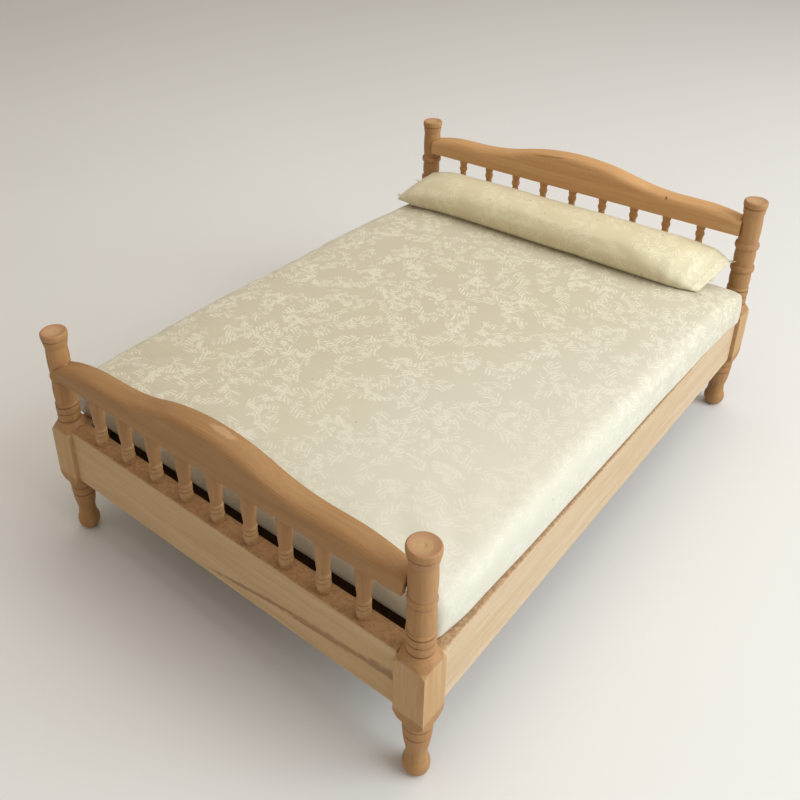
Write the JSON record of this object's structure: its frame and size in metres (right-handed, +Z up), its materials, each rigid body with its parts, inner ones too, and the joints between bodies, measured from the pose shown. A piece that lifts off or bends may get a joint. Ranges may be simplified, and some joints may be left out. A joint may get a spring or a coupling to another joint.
{
  "type": "miniature double bed",
  "caption": "Low four poster bed for a dolls house: turned posts, curved crest rails over turned spindles, flat side rails, a loose padded mattress and a bolster pillow.",
  "frame": {"origin": "on the floor, at the middle of the bed in plan", "axes": "+Z up, +Y from the foot board to the head board, +X to the right of someone standing at the foot and facing the head"},
  "size_m": [0.1386, 0.1986, 0.083],
  "materials": {
    "post_wood": "plain lathe-turned softwood, unvarnished",
    "crest_wood": "plain shaped softwood, rounded top edges",
    "rail_wood": "plain sawn softwood board",
    "spindle_wood": "plain lathe-turned softwood, unvarnished",
    "panel_wood": "plain thin board and strips",
    "dowel_wood": "plain dowel rod",
    "mattress_cloth": "woven figured cotton",
    "pillow_cloth": "woven figured cotton with frayed thread ends"
  },
  "bodies": {
    "frame": {"foot_post_left": "post_wood", "foot_post_right": "post_wood", "head_post_left": "post_wood", "head_post_right": "post_wood", "foot_crest_rail": "crest_wood", "head_crest_rail": "crest_wood", "foot_lower_rail": "rail_wood", "head_lower_rail": "rail_wood", "side_rail_left": "rail_wood", "side_rail_right": "rail_wood", "foot_spindle_1": "spindle_wood", "foot_spindle_2": "spindle_wood", "foot_spindle_3": "spindle_wood", "foot_spindle_4": "spindle_wood", "foot_spindle_5": "spindle_wood", "foot_spindle_6": "spindle_wood", "foot_spindle_7": "spindle_wood", "foot_spindle_8": "spindle_wood", "foot_spindle_9": "spindle_wood", "head_spindle_1": "spindle_wood", "head_spindle_2": "spindle_wood", "head_spindle_3": "spindle_wood", "head_spindle_4": "spindle_wood", "head_spindle_5": "spindle_wood", "head_spindle_6": "spindle_wood", "head_spindle_7": "spindle_wood", "head_spindle_8": "spindle_wood", "head_spindle_9": "spindle_wood", "base_panel": "panel_wood", "bearer_left": "panel_wood", "bearer_right": "panel_wood", "rail_dowels": "dowel_wood", "crest_dowels": "dowel_wood"},
    "mattress": {"mattress": "mattress_cloth"},
    "pillow": {"pillow": "pillow_cloth"}
  },
  "joints": [
    {"name": "mattress_lift", "type": "slide", "parent": "frame", "child": "mattress", "axis": [0, 0, 1], "range_m": [0, 0.045]},
    {"name": "pillow_lift", "type": "slide", "parent": "mattress", "child": "pillow", "axis": [0, 0, 1], "range_m": [0, 0.03]}
  ]
}
